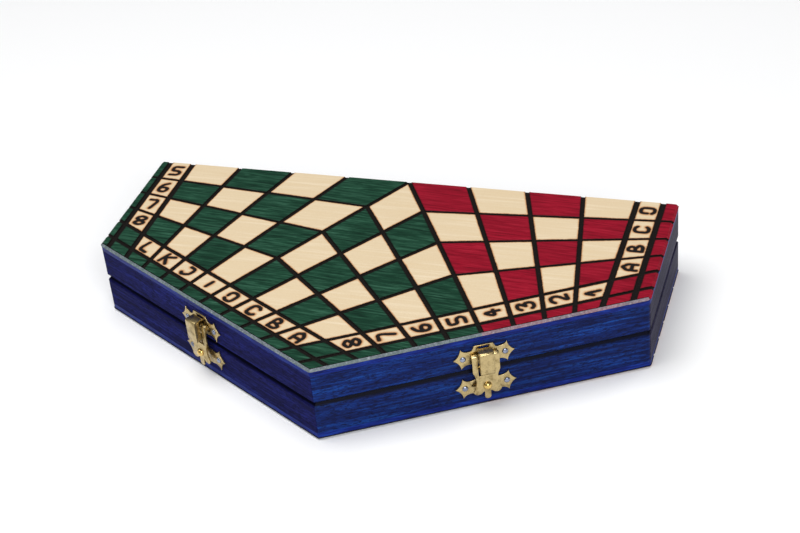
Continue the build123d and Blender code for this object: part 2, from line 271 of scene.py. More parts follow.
def stained_square(name, deep_tone, tone, bright_tone, streak):
    made, tree, shader = material(name, Roughness=0.45, Specular_IOR_Level=0.1)
    grain = noise(tree, stretch(tree, 0.06, (60, 900, 900)), detail=6, rough=0.65, twist=0.6)
    brush = noise(tree, stretch(tree, -0.12, (75, 1700, 1700)), detail=4, rough=0.7, twist=1.2)
    clouds = noise(tree, stretch(tree, 0, (45, 90, 90)), detail=2)
    wood = ramp(tree, grain, [(0.32, deep_tone), (0.5, tone), (0.74, bright_tone)])
    light = math_node(tree, "MULTIPLY", fade(tree, brush, 0.56, 0.76), streak)
    wood = blend_colours(tree, light, wood, bright_tone)
    wood = blend_colours(tree, fade(tree, clouds, 0.35, 0.7, 0.28, 0.0), wood, deep_tone)
    char, glow = scorch(tree, 0.8, 1.2)
    wood = blend_colours(tree, math_node(tree, "MULTIPLY", glow, 0.55), wood, BLACK)
    wood = blend_colours(tree, char, wood, BLACK)
    tree.links.new(wood, shader.inputs["Base Color"])
    bump(tree, shader, brush, 0.00005, 0.4)
    return made


# %% Grooves and edge strips
def burnt_groove():
    made, tree, shader = material("burnt_wood", Roughness=0.5, Specular_IOR_Level=0.12)
    blisters = noise(tree, stretch(tree, 0, (1100, 1100, 1100)), detail=3)
    wood = ramp(tree, blisters, [
        (0.3, BLACK), (0.62, (0.007, 0.005, 0.004, 1)), (0.8, (0.03, 0.02, 0.018, 1)),
    ])
    tree.links.new(wood, shader.inputs["Base Color"])
    bump(tree, shader, blisters, 0.00025, 0.8)
    return made


def edge_strip(name, tint):
    """The bevel round the board: grey speckle, a painted reflection of light off its lacquer,
    washed with its stain's tint.
    """
    made, tree, shader = material(name, Roughness=0.5, Specular_IOR_Level=0.3)
    # Painted reflection: this grey speckle stands for light reflected off the lacquered bevel, and
    # the wash of the tint is the stain's own colour.
    speckle = noise(tree, stretch(tree, 0, (900, 900, 900)), detail=5, rough=0.7)
    wash = noise(tree, stretch(tree, 0, (70, 70, 300)), detail=3)
    grey = ramp(tree, speckle, [
        (0.3, srgb(64, 70, 76)), (0.55, srgb(112, 118, 126)), (0.75, srgb(172, 174, 182)),
    ])
    grey = blend_colours(tree, fade(tree, wash, 0.35, 0.75, 0.12, 0.5), grey, tint)
    tree.links.new(grey, shader.inputs["Base Color"])
    return made


# %% Make the board's finishes
birch = pale_square()
GREEN_TONES = (srgb(8, 34, 24), srgb(22, 62, 44), srgb(62, 108, 86))
RED_TONES = (srgb(104, 6, 24), srgb(142, 12, 36), srgb(170, 34, 54))
SQUARE_BLUE_TONES = (srgb(12, 26, 84), srgb(24, 48, 132), srgb(66, 98, 176))
stains = {
    "green": stained_square("green_stain", *GREEN_TONES, 0.6),
    "red": stained_square("red_stain", *RED_TONES, 0.3),
    "blue": stained_square("blue_stain", *SQUARE_BLUE_TONES, 0.5),
}
strips = {
    "green": edge_strip("green_edge_strip", srgb(84, 112, 104)),
    "red": edge_strip("red_edge_strip", srgb(176, 96, 108)),
    "blue": edge_strip("blue_edge_strip", srgb(90, 104, 150)),
}
burnt = burnt_groove()
finishes = (birch, *stains.values(), *strips.values(), burnt)
print("board finishes:", *[finish.name for finish in finishes])

# %% [markdown]
# ## Cutting the plan into squares
# The squares aren't square: each player's half-field is a kite cut four by four, and the lines
# run on through the lettered band to the edge. Rather than list every corner, each cell is kept
# as the straight sides that bound it. A line through a cell splits it in two. In the end each
# cell is trimmed back by half the width of the lines beside it.

# %% Convex cells from straight sides
def clip(shape, across, reach):
    """What is left of a convex shape on the near side of a line: across . p <= reach."""
    kept = []
    for here, after in zip(shape, shape[1:] + shape[:1]):
        inside, inside_after = across.dot(here) - reach, across.dot(after) - reach
        if inside <= 0:
            kept.append(here)
        if inside * inside_after < 0:
            kept.append(here + (after - here) * (inside / (inside - inside_after)))
    return kept


SHEET = [Vector((x, y)) for x, y in ((-400, -400), (400, -400), (400, 400), (-400, 400))]


def shape_of(sides):
    """The convex shape within (across, reach, trim) sides."""
    shape = SHEET
    for across, reach, trim in sides:
        shape = clip(shape, across, reach - trim)
        if len(shape) < 3:
            return []
    return shape


def middle_of(shape):
    return sum(shape, Vector((0, 0))) / len(shape)


def split(cells, start, end, width):
    """Splits the cells that the line from start to end, run on both ways, passes through."""
    across = Vector((start.y - end.y, end.x - start.x)).normalized()
    reach = across.dot(start)
    result = []
    for sides in cells:
        halves = [
            sides + [(across, reach, width / 2)],
            sides + [(-across, -reach, width / 2)],
        ]
        halves = [half for half in halves if shape_of(half)]
        result += halves if len(halves) == 2 else [sides]
    return result


print("one line splits the sheet in", len(split([[]], SHEET[0], SHEET[2], 0.0)), "cells")


# %% The edges of one sixth of the board
def first_side(number):
    """The angle of the first of the two outer edges that a sixth of the board reaches."""
    return 180 + 60 * number


def outer_sides(number):
    """The board's two outer edges in this sixth, with a few flats round the corner between them."""
    first = first_side(number)
    rounding = FRONT_ROUND if number % 3 == 1 else SIDE_ROUND
    hub = unit(first + 30) * (SIDE - rounding / math.cos(math.radians(30)))
    sides = [(unit(first), APOTHEM, 0.0), (unit(first + 60), APOTHEM, 0.0)]
    for turn in (12, 24, 36, 48):
        sides.append((unit(first + turn), hub.dot(unit(first + turn)) + rounding, 0.0))
    return sides


def field_and_band(angle):
    """How far out the squares end on a side, and how wide its lettered band is."""
    if angle % 180:
        return FRONT_FIELD, FRONT_BAND
    return (LEFT_FIELD if angle % 360 else RIGHT_FIELD), SIDE_BAND


def field_corner(first):
    """Where the ends of the squares on two neighbouring sides meet."""
    one, two = field_and_band(first)[0], field_and_band(first + 60)[0]
    across = unit(first + 90) * ((two - one / 2) / math.sin(math.radians(60)))
    return unit(first) * one + across


print("the first sixth's squares end at", [round(v, 1) for v in field_corner(first_side(0))])


# %% The cells of one sixth of the board
def sixth(number):
    """All cells of a sixth, and the lines of its two rows as (start, end) pairs."""
    first = first_side(number)
    corner = field_corner(first)
    mid_first, mid_second = (unit(a) * field_and_band(a)[0] for a in (first, first + 60))
    fold_steps = RIGHT_STEPS if number in (2, 3) else LEFT_STEPS
    on_fold_first, on_fold_second = number % 3 == 0, number % 3 == 2
    turn_first, turn_second = unit(first - 90), unit(first + 150)
    sides = outer_sides(number) + [
        (turn_first, 0.0, 0.0 if on_fold_first else MAIN_LINE / 2),
        (turn_second, 0.0, 0.0 if on_fold_second else MAIN_LINE / 2),
    ]
    cells = [sides]
    for angle in (first, first + 60):
        width = SIDE_LINE if angle % 180 == 0 else FRONT_LINE
        along = unit(angle + 90)
        field, band = field_and_band(angle)
        for reach in (field, field + band):
            cells = split(cells, unit(angle) * reach, unit(angle) * reach + along, width)
    rows = []
    for on_fold_near, on_fold_far, near_to, far_from in (
        (on_fold_first, on_fold_second, mid_first, mid_second),
        (on_fold_second, on_fold_first, mid_second, mid_first),
    ):
        steps = fold_steps if on_fold_near else EVEN_STEPS
        width = FINE_LINE if on_fold_far else MAIN_LINE
        row = []
        for near, far in zip(steps, EVEN_STEPS):
            start, end = near_to * near, far_from.lerp(corner, far)
            cells = split(cells, start, end, width)
            row.append((start, end))
        rows.append(row)
    return cells, rows


# %% The finish of each cell
def steps_past(point, row):
    """How many of a row's lines lie between the middle of the board and a point."""
    count = 0
    for start, end in row:
        run, offset = end - start, point - start
        origin = -start
        if (run.x * offset.y - run.y * offset.x) * (run.x * origin.y - run.y * origin.x) < 0:
            count += 1
    return count


STAIN_OF = ("green", "green", "red", "red", "blue", "blue")


def describe(number, sides, rows):
    """Which finish a cell has, and on which side's lettered band it lies, if on one."""
    first = first_side(number)
    point = middle_of(shape_of(sides))
    zone = []
    for angle in (first, first + 60):
        field, band = field_and_band(angle)
        zone.append(sum(unit(angle).dot(point) > reach for reach in (field, field + band)))
    finish, band = STAIN_OF[number], None
    if zone == [0, 0]:
        count = steps_past(point, rows[0]) + steps_past(point, rows[1]) + number
        finish = "birch" if count % 2 else finish
    elif sorted(zone) == [0, 1]:
        finish, band = "birch", (first if zone[0] else first + 60) % 360
    return {"number": number, "sides": sides, "finish": finish, "band": band, "point": point}


cells = []
for number in range(6):
    found, rows = sixth(number)
    cells += [describe(number, sides, rows) for sides in found]
print("cells:", len(cells), "lettered:", sum(c["band"] is not None for c in cells))

bevel_strips = []
for number in range(6):
    first = first_side(number)
    wedge = [(unit(first - 90), 0.0, 0.0), (unit(first + 150), 0.0, 0.0)]
    bevel_strips.append({
        "number": number,
        "sides": outer_sides(number) + wedge,
        "finish": "strip " + STAIN_OF[number],
    })

# %% [markdown]
# ## Characters
# Letters and numbers name the rows, as on any chess board. They are plain strokes, drawn here on
# a grid four wide and six high, and rounded a little by cutting their corners. Each band is read
# counter-clockwise. On the lettered sides a character stands with its foot towards the edge. On
# the numbered sides it points back along the band.

# %% Strokes of the characters
STROKES = {
    "A": ["00 04 15 26 35 44 40", "02 42"],
    "B": ["00 06 26 35 34 23 03", "23 42 41 30 00"],
    "C": ["45 36 16 05 01 10 30 41"],
    "D": ["03 05 16 36 45 41 30 10 01"],
    "E": ["46 06 00 40", "03 33"],
    "F": ["46 06 00", "03 33"],
    "G": ["45 36 16 05 01 10 30 41 43 23"],
    "H": ["00 06", "40 46", "03 43"],
    "I": ["21 25"],
    "J": ["16 36 45 42 31 10 01"],
    "K": ["00 06", "46 03", "13 40"],
    "L": ["06 00 40"],
    "0": ["26 05 01 20 41 45 26"],
    "1": ["03 26 20"],
    "2": ["05 16 36 45 43 00 40"],
    "3": ["05 16 36 45 34 23", "23 43 41 30 10 01"],
    "4": ["30 36 02 42"],
    "5": ["46 06 03 33 42 41 30 00"],
    "6": ["36 15 03 01 10 30 42 33 13 02"],
    "7": ["06 46 20"],
    "8": ["23 04 05 26 45 44 23 02 01 20 41 42 23"],
    "9": ["10 31 43 45 36 16 04 13 33 44"],
}
BAND_TEXT = {
    240: "L K J I D C B A",
    300: "8 7 6 5 4 3 2 1",
    0: "A B C D E F G H",
    60: "1 2 3 4 9 10 11 12",
    120: "H G F E I J K L",
    180: "12 11 10 9 5 6 7 8",
}
LETTER_HIGH, NUMBER_HIGH = 7.0, 8.0
SINGLE_WIDE, DOUBLE_WIDE, LETTER_STEP = 1.05, 0.62, 5.8
STROKE_HALF = 0.76
FAR = 9.0


# %% Segments of a word, and how far points are from them
def rounded(points):
    """Cuts the corners of an open run of points twice, keeping its ends."""
    for _ in range(2):
        if len(points) < 3:
            return points
        cut = [points[0]]
        for here, after in zip(points, points[1:]):
            cut += [here.lerp(after, 0.22), here.lerp(after, 0.78)]
        points = cut + [points[-1]]
    return points


def strokes_for(text, foot, up):
    """The stroke segments of a word in the plan, centred on foot, as (start, end) pairs."""
    right = Vector((up.y, -up.x))
    scale = (NUMBER_HIGH if text.isdigit() else LETTER_HIGH) / 6
    squeeze = LETTER_HIGH / 6 * (SINGLE_WIDE if len(text) == 1 else DOUBLE_WIDE)
    segments = []
    for place, letter in enumerate(text):
        shift = (place - (len(text) - 1) / 2) * LETTER_STEP
        for stroke in STROKES[letter]:
            grid = [Vector((float(pair[0]), float(pair[1]))) for pair in stroke.split()]
            line = [
                foot + right * ((p.x - 2 + shift) * squeeze) + up * ((p.y - 3) * scale)
                for p in rounded(grid)
            ]
            segments += list(zip(line, line[1:]))
    return segments


def stroke_distance(points, segments):
    """The distance from each point to the nearest stroke's edge, in millimetres."""
    nearest = np.full(len(points), FAR)
    for start, end in segments:
        run = np.array(end - start)
        offset = points - np.array(start)
        share = np.clip(offset @ run / max(run @ run, 1e-9), 0, 1)
        nearest = np.minimum(nearest, np.linalg.norm(offset - share[:, None] * run, axis=1))
    return nearest - STROKE_HALF


# %% Words for the lettered bands
for angle, words in BAND_TEXT.items():
    along = unit(angle + 90)
    band_cells = sorted(
        (c for c in cells if c["band"] == angle), key=lambda c: c["point"].dot(along)
    )
    for cell, word in zip(band_cells, words.split()):
        up = -unit(angle) if angle % 120 == 0 else -along
        cell["strokes"] = strokes_for(word, cell["point"], up)
    print("band", angle, "cells", len(band_cells), "words", len(words.split()))

# %% [markdown]
# ## From plan to mesh
# Each cell becomes a flat island at the bottom of the grooves. Cells at the sides get a second
# face that slopes with the bevel. Along the front edges the bevel is one strip, where the burnt
# lines stop. Cuts parallel to the burnt sides give the mesh points where the scorch changes, and
# lettered cells get a fine grid, so that a shader can follow the strokes and a modifier can press
# them into the wood.

# %% Heights and faces of a cell
def surface_height(point):
    """How high the finished board's top is at a point of the plan, in millimetres."""
    room = min(APOTHEM - unit(angle).dot(point) for angle in range(0, 360, 60))
    return TOP - max(0.0, BEVEL - room)


def cell_faces(cell):
    """The cell's flat part, and its parts on the bevel of either outer edge."""
    first = first_side(cell["number"])
    one, two = unit(first), unit(first + 60)
    crest = APOTHEM - BEVEL
    parts = [[(one, crest, 0.0), (two, crest, 0.0)]]
    parts.append([(-one, -crest, 0.0), ((two - one).normalized(), 0.0, 0.0)])
    parts.append([(-two, -crest, 0.0), ((one - two).normalized(), 0.0, 0.0)])
    for part, extra in enumerate(parts):
        shape = shape_of(cell["sides"] + extra)
        if len(shape) > 2:
            yield shape, part > 0 and (first + 60 * part - 60) % 180 > 0


# %% Cuts through a cell
CUTS = (0.22, 0.8, 1.8, 3.0)
FINE = 0.42


def burnt_sides(cell):
    return [(across, reach - trim) for across, reach, trim in cell["sides"] if trim]


def cell_mesh(cell, slots):
    """A small bmesh of one cell in millimetres, with its finish already chosen by slot."""
    made = bmesh.new()
    for shape, on_front_bevel in cell_faces(cell):
        if on_front_bevel == cell["finish"].startswith("strip"):
            corners = [made.verts.new((p.x, p.y, 0)) for p in shape]
            made.faces.new(corners).material_index = slots[cell["finish"]]
    bmesh.ops.remove_doubles(made, verts=made.verts[:], dist=0.002)
    planes = [(across, reach - cut) for across, reach in burnt_sides(cell) for cut in CUTS]
    if "strokes" in cell:
        planes += fine_planes(cell)
    for across, reach in planes:
        bmesh.ops.bisect_plane(
            made,
            geom=made.verts[:] + made.edges[:] + made.faces[:],
            dist=0.0005,
            plane_co=(across.x * reach, across.y * reach, 0),
            plane_no=(across.x, across.y, 0),
        )
    return made


def fine_planes(cell):
    """Closely spaced cuts both ways over the middle of a lettered cell."""
    up = unit(cell["band"])
    for along in (up, Vector((-up.y, up.x))):
        half = NUMBER_HIGH / 2 + 1.8
        for number in range(int(2 * half / FINE) + 1):
            yield along, along.dot(cell["point"]) - half + number * FINE


# %% Flat islands with their distances
def islands(name, numbers, palette):
    """One flat mesh of all cells of a half board, with from_edge and from_stroke on its points."""
    slots = {key: index for index, key in enumerate(palette)}
    places, faces, finishes, edges, strokes = [], [], [], [], []
    for cell in cells + bevel_strips:
        if cell["number"] not in numbers:
            continue
        part = cell_mesh(cell, slots)
        if not part.faces:
            part.free()
            continue
        base = len(places)
        points = np.array([v.co[:2] for v in part.verts])
        room = np.full(len(points), FAR)
        for across, reach in burnt_sides(cell):
            room = np.minimum(room, reach - points @ np.array(across))
        edges += list(np.clip(room, 0, FAR))
        strokes += list(stroke_distance(points, cell.get("strokes", [])))
        places += [(x, y, surface_height(Vector((x, y))) - GROOVE) for x, y in points]
        for face in part.faces:
            faces.append([base + v.index for v in face.verts])
            finishes.append(face.material_index)
        part.free()
    mesh = bpy.data.meshes.new(name)
    mesh.from_pydata([(x * MM, (y + FOLD_Y) * MM, z * MM) for x, y, z in places], [], faces)
    mesh.polygons.foreach_set("material_index", finishes)
    for title, values in (("from_edge", edges), ("from_stroke", strokes)):
        mesh.attributes.new(title, "FLOAT", "POINT").data.foreach_set("value", values)
    for finish in palette.values():
        mesh.materials.append(finish)
    print(name, "islands:", len(faces), "faces")
    return add_object(name, mesh)


palette = {"birch": birch, **stains, **{"strip " + k: m for k, m in strips.items()}}
top_islands = islands("upper_squares", (0, 1, 2), palette)
under_islands = islands("lower_squares", (3, 4, 5), palette)

# %% [markdown]
# ## Raising the squares with Geometry Nodes
# The squares all stand by one rule: up from the groove's floor, with a soft rim, and with the
# strokes pressed in. That is what Geometry Nodes are good at, so one tree does it for both
# halves. Its sizes are named inputs. The walls of the grooves get the burnt finish.

# %% Helpers for node groups
def geometry_group(name, sizes, others):
    """A tree that takes and gives geometry; sizes are in millimetres, others are socket types."""
    tree = bpy.data.node_groups.new(name, "GeometryNodeTree")
    face = tree.interface
    face.new_socket("Geometry", in_out="INPUT", socket_type="NodeSocketGeometry")
    for title, value in sizes.items():
        socket = face.new_socket(title, in_out="INPUT", socket_type="NodeSocketFloat")
        socket.default_value = value * MM
    for title, kind in others.items():
        face.new_socket(title, in_out="INPUT", socket_type=kind)
    face.new_socket("Geometry", in_out="OUTPUT", socket_type="NodeSocketGeometry")
    return tree, add_node(tree, "NodeGroupInput").outputs


def finish_group(tree, last):
    """Joins the last node's geometry to the tree's output."""
    tree.links.new(last.outputs[0], add_node(tree, "NodeGroupOutput").inputs[0])
    return tree


def stored(tree, name):
    """A distance that the mesh keeps on its points."""
    made = add_node(tree, "GeometryNodeInputNamedAttribute", {"Name": name}, data_type="FLOAT")
    return made.outputs[0]


# %% Node group that raises the squares
def raise_group():
    sizes = {"Groove Depth": GROOVE, "Rim Drop": 0.12, "Stroke Depth": 0.16}
    others = {"Burnt Finish": "NodeSocketMaterial"}
    tree, source = geometry_group("raised_squares", sizes, others)
    rise = add_node(tree, "GeometryNodeExtrudeMesh", {
        "Mesh": source["Geometry"],
        "Offset": (0, 0, 1),
        "Offset Scale": source["Groove Depth"],
        "Individual": False,
    }, mode="FACES")
    at_rim = math_node(tree, "LESS_THAN", stored(tree, "from_edge"), 0.05)
    in_stroke = fade(tree, stored(tree, "from_stroke"), 0.1, -0.3)
    drop = math_node(tree, "ADD",
        math_node(tree, "MULTIPLY", at_rim, source["Rim Drop"]),
        math_node(tree, "MULTIPLY", in_stroke, source["Stroke Depth"]),
    )
    lower = add_node(tree, "ShaderNodeCombineXYZ", {2: math_node(tree, "MULTIPLY", drop, -1.0)})
    eased = add_node(tree, "GeometryNodeSetPosition", {
        "Geometry": rise.outputs["Mesh"],
        "Selection": rise.outputs["Top"],
        "Offset": lower.outputs[0],
    })
    real = add_node(tree, "GeometryNodeRealizeInstances", {0: eased.outputs[0]})
    charred = add_node(tree, "GeometryNodeSetMaterial", {
        "Geometry": real.outputs[0],
        "Selection": rise.outputs["Side"],
        "Material": source["Burnt Finish"],
    })
    return finish_group(tree, charred)


# %% Raise the squares
def apply_group(thing, tree, **values):
    """Runs a node group on an object, sets its inputs by socket, and keeps the plain result."""
    modifier = thing.modifiers.new(tree.name, "NODES")
    modifier.node_group = tree
    for item in tree.interface.items_tree:
        title = item.name.replace(" ", "_").lower()
        if item.in_out == "INPUT" and title in values:
            modifier[item.identifier] = values[title]
    thing.update_tag()
    bpy.context.view_layer.update()
    seen = thing.evaluated_get(bpy.context.evaluated_depsgraph_get())
    plain = bpy.data.meshes.new_from_object(seen)
    thing.modifiers.remove(modifier)
    thing.data = plain
    plain.name = thing.name
    print(thing.name, "after", tree.name + ":", len(plain.polygons), "faces")
    return thing


raiser = raise_group()
for thing in (top_islands, under_islands):
    apply_group(thing, raiser, burnt_finish=burnt)

# %% [markdown]
# ## Walls
# The walls are stained blue outside and left bare inside. The CAD walls have the right shape, so
# only their finish is made. One material shows both woods, because it measures how far inward
# from the outer face a point lies. A picture of wood could be wrapped on, but noise that is
# stretched along the wall has no seams. A near-black painted shade stands for the shadow in the
# groove where the trays meet.

# %% Wood for the walls and the inside
BARE = srgb(216, 186, 140)
STAIN_ENDS = (0.0026, 0.0034)
SPLIT_SHADE = (0.0018, 0.0008)


def wall_wood(name, angle, tones, sheen):
    """Stained outside, which looks to angle, and bare inside; the grain runs along the wall."""
    made, tree, shader = material(name, Roughness=0.42, Specular_IOR_Level=sheen)
    turn = math.radians(90 - angle)
    grain = noise(tree, stretch(tree, turn, (26, 420, 640)), detail=6, rough=0.62, twist=0.5)
    fibres = noise(tree, stretch(tree, turn, (120, 2400, 2400)), detail=4, rough=0.7)
    patches = noise(tree, stretch(tree, turn, (18, 60, 90)), detail=2)
    pores = noise(tree, stretch(tree, turn, (420, 1500, 1700)), detail=3, rough=0.7)
    stained = ramp(tree, grain, [(0.3, tones[0]), (0.5, tones[1]), (0.72, tones[2])])
    stained = blend_colours(tree, fade(tree, fibres, 0.55, 0.75, 0, 0.45), stained, tones[2])
    stained = blend_colours(tree, fade(tree, patches, 0.35, 0.65, 0.35, 0), stained, tones[0])
    stained = blend_colours(tree, fade(tree, pores, 0.55, 0.36, 0, 0.9), stained, tones[0])
    bare = ramp(tree, grain, [(0.3, srgb(196, 160, 112)), (0.5, BARE), (0.75, srgb(232, 208, 168))])
    place = add_node(tree, "ShaderNodeTexCoord").outputs["Object"]
    facing = unit(angle)
    outward = add_node(
        tree,
        "ShaderNodeVectorMath",
        {0: place, 1: (facing.x, facing.y, 0)},
        operation="DOT_PRODUCT",
    )
    reach = (APOTHEM if angle % 60 == 0 else 0.0) * MM + FOLD_Y * MM * facing.y
    inward = math_node(tree, "SUBTRACT", reach, outward.outputs["Value"])
    ragged = math_node(tree, "MULTIPLY_ADD", fibres, 0.001, inward)
    axes = add_node(tree, "ShaderNodeSeparateXYZ", {0: place})
    # Painted shade: close to the split the stain fades to near black, for the shadow in the groove
    # where the trays meet.
    above_split = math_node(tree, "SUBTRACT", axes.outputs[2], SPLIT * MM)
    from_split = math_node(tree, "ABSOLUTE", above_split)
    dark = fade(tree, from_split, *SPLIT_SHADE, 0, 0.95)
    stained = blend_colours(tree, dark, stained, srgb(6, 6, 20))
    colour = blend_colours(tree, fade(tree, ragged, *STAIN_ENDS), stained, bare)
    tree.links.new(colour, shader.inputs["Base Color"])
    bump(tree, shader, fibres, 0.00006, 0.5)
    return made


# %% Dress the walls
def dress(node, look):
    """Gives a CAD node its only finish."""
    node.data.materials.clear()
    node.data.materials.append(look)


# All walls wear one blue stain. The front-left wall's darker violet tones are painted shade, and
# the right wall's dark grey tones are painted shade with the grey of a grazing reflection.
BLUE_TONES = (srgb(6, 10, 44), srgb(12, 36, 100), srgb(22, 78, 166))
SHADED_BLUE_WALL_TONES = (srgb(14, 14, 44), srgb(26, 28, 84), srgb(38, 48, 128))
GRAZING_GREY_SHADE_TONES = (srgb(28, 26, 44), srgb(54, 52, 74), srgb(84, 80, 108))
wall_looks = {
    "left": (180, BLUE_TONES, 0.08),
    "front_left": (240, SHADED_BLUE_WALL_TONES, 0.01),
    "front_right": (300, BLUE_TONES, 0.08),
    "right": (0, GRAZING_GREY_SHADE_TONES, 0.01),
    "back": (90, BLUE_TONES, 0.08),
}
for half in ("upper", "lower"):
    for label, look_settings in wall_looks.items():
        title = "blue_wall_" + label
        look = bpy.data.materials.get(title) or wall_wood(title, *look_settings)
        dress(nodes[half + "_wall_" + label], look)
print("walls dressed:", 2 * len(wall_looks))

# %% [markdown]
# ## Panels under the squares
# Below the squares is the plywood panel. Its top, the floor of the grooves, is burnt. Its edge
# is stained like the walls, and its underside is the bare inside of the box. A closed shell with
# a bevelled rim is enough, so it is built point by point from the same sides as the cells.

# %% Woods of the panel
def bare_wood(name):
    made, tree, shader = material(name, Roughness=0.5, Coat_Weight=0.1, Coat_Roughness=0.3)
    grain = noise(tree, stretch(tree, 0, (20, 500, 500)), detail=5, twist=0.5)
    wood = ramp(tree, grain, [(0.3, srgb(200, 166, 118)), (0.5, BARE), (0.75, srgb(236, 214, 176))])
    tree.links.new(wood, shader.inputs["Base Color"])
    bump(tree, shader, grain, 0.00005, 0.4)
    return made


def edge_wood():
    """The plywood's own edge, stained with the walls."""
    made, tree, shader = material("blue_board_edge", Roughness=0.42, Specular_IOR_Level=0.08)
    layers = noise(tree, stretch(tree, 0, (120, 120, 1500)), detail=4, rough=0.6)
    wood = ramp(tree, layers, [
        (0.3, srgb(8, 14, 56)), (0.52, srgb(18, 36, 116)), (0.75, srgb(28, 64, 156)),
    ])
    tree.links.new(wood, shader.inputs["Base Color"])
    return made


inside_wood = bare_wood("bare_birch")
stained_edge = edge_wood()
print("panel woods:", inside_wood.name, stained_edge.name)


# %% Panel shell
def panel_shell(name, numbers):
    """The panel without its squares: burnt on top, stained round its edge and bare below."""
    fold = unit(90) if 0 in numbers else unit(270)
    sides = [(fold, 0.0, 0.0)]
    for number in numbers:
        sides += outer_sides(number)
    outline = shape_of(sides)
    straight = [(across, reach) for across, reach, _ in sides if reach in (0.0, APOTHEM)]
    crest = shape_of([
        (across, reach - BEVEL if reach else reach, 0.0) for across, reach in straight
    ])
    made = bmesh.new()
    inner = [made.verts.new((p.x, p.y, TOP - GROOVE)) for p in crest]
    rim = [made.verts.new((p.x, p.y, surface_height(p) - GROOVE)) for p in outline]
    foot = [made.verts.new((p.x, p.y, TOP - PANEL)) for p in outline]
    near = [min(range(len(crest)), key=lambda k: (crest[k] - p).length) for p in outline]
    made.faces.new(inner).material_index = 0
    for here in range(len(outline)):
        after = (here + 1) % len(outline)
        ring = [rim[here], rim[after], inner[near[after]], inner[near[here]]]
        ring = ring[:3] if near[here] == near[after] else ring
        made.faces.new(ring).material_index = 0
        made.faces.new([foot[here], foot[after], rim[after], rim[here]]).material_index = 1
    made.faces.new(foot[::-1]).material_index = 2
    for vertex in made.verts:
        vertex.co = Vector((vertex.co.x, vertex.co.y + FOLD_Y, vertex.co.z)) * MM
    mesh = bpy.data.meshes.new(name)
    made.to_mesh(mesh)
    made.free()
    for finish in (burnt, stained_edge, inside_wood):
        mesh.materials.append(finish)
    return add_object(name, mesh)


# %% Join squares and panels
def join(first, second, name):
    """Joins two objects into one piece with both sets of finishes."""
    bpy.ops.object.select_all(action="DESELECT")
    for thing in (first, second):
        thing.select_set(True)
    bpy.context.view_layer.objects.active = first
    bpy.ops.object.join()
    first.name = first.data.name = name
    return first


def fold_under(thing):
    """Turns a half board about the fold, from beside the upper half to under the lower tray."""
    turn = Matrix.Translation((0, FOLD_Y * MM, SPLIT * MM)) @ Matrix.Rotation(math.pi, 4, "X")
    thing.data.transform(turn @ Matrix.Translation((0, -FOLD_Y * MM, -SPLIT * MM)))


def finish_piece(piece, body, slot, *stands_for):
    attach(piece, body)
    if stands_for:
        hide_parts(*stands_for)


for name, squares, numbers, body, node in (
    ("upper_playing_board", top_islands, (0, 1, 2), "upper_half", "upper_board"),
    ("lower_playing_board", under_islands, (3, 4, 5), "lower_half", "lower_board"),
):
    board = join(squares, panel_shell(name + "_panel", numbers), name)
    if 3 in numbers:
        fold_under(board)
    board.data.set_sharp_from_angle(angle=math.radians(28))
    finish_piece(board, body, "board_wood", node)
    print(name, "faces:", len(board.data.polygons))

# %% [markdown]
# ## Stamped brass
# The latches' plates, levers and straps have the right outlines in the CAD model, but every edge
# is razor sharp. Real stampings have soft edges that catch the light. So each is copied, its
# loose triangles are merged into whole faces, and a small bevel is applied. The levers' tongues
# are also made slimmer, as the photograph shows them.

# %% Brass and steel
def brass_finish(name, tone, dark, shine):
    made, tree, shader = material(name, Metallic=1.0, Roughness=shine)
    mottle = noise(tree, stretch(tree, 0, (300, 300, 300)), detail=5, rough=0.65)
    fine = noise(tree, stretch(tree, 0.3, (2600, 2600, 2600)), detail=3)
    light = tuple(min(1, c * 1.18) for c in tone[:3]) + (1,)
    metal = ramp(tree, mottle, [(0.28, dark), (0.5, tone), (0.75, light)])
    tree.links.new(metal, shader.inputs["Base Color"])
    worn = fade(tree, mottle, 0.3, 0.7, shine + 0.12, shine - 0.05)
    tree.links.new(worn, shader.inputs["Roughness"])
    bump(tree, shader, fine, 0.00003, 0.35)
    return made


satin_brass = brass_finish("satin_brass", srgb(184, 164, 118), srgb(124, 106, 68), 0.28)
bright_brass = brass_finish("bright_brass", srgb(222, 188, 112), srgb(150, 116, 54), 0.18)
nail_steel = brass_finish("nail_steel", srgb(146, 152, 172), srgb(84, 90, 106), 0.26)
print("metals:", satin_brass.name, bright_brass.name, nail_steel.name)


# %% Softened copies of CAD nodes
TONGUE_DROP, TONGUE_HALF = 10.0, 2.3
TONGUE_NARROWER, TONGUE_LENGTH = 0.3, 0.78


def slim_tongue(made, angle):
    """Makes the tongue at the lever's foot narrower and shorter than the CAD model has it."""
    along = Vector((-unit(angle).y, unit(angle).x, 0))
    for vertex in made.verts:
        aside = along.dot(vertex.co) / MM - along.y * FOLD_Y
        rise = vertex.co.z / MM - SPLIT
        if rise < 0.1 - TONGUE_DROP and abs(aside) < TONGUE_HALF:
            vertex.co -= along * (TONGUE_NARROWER * aside * MM)
            vertex.co.z = (SPLIT - TONGUE_DROP + (rise + TONGUE_DROP) * TONGUE_LENGTH) * MM


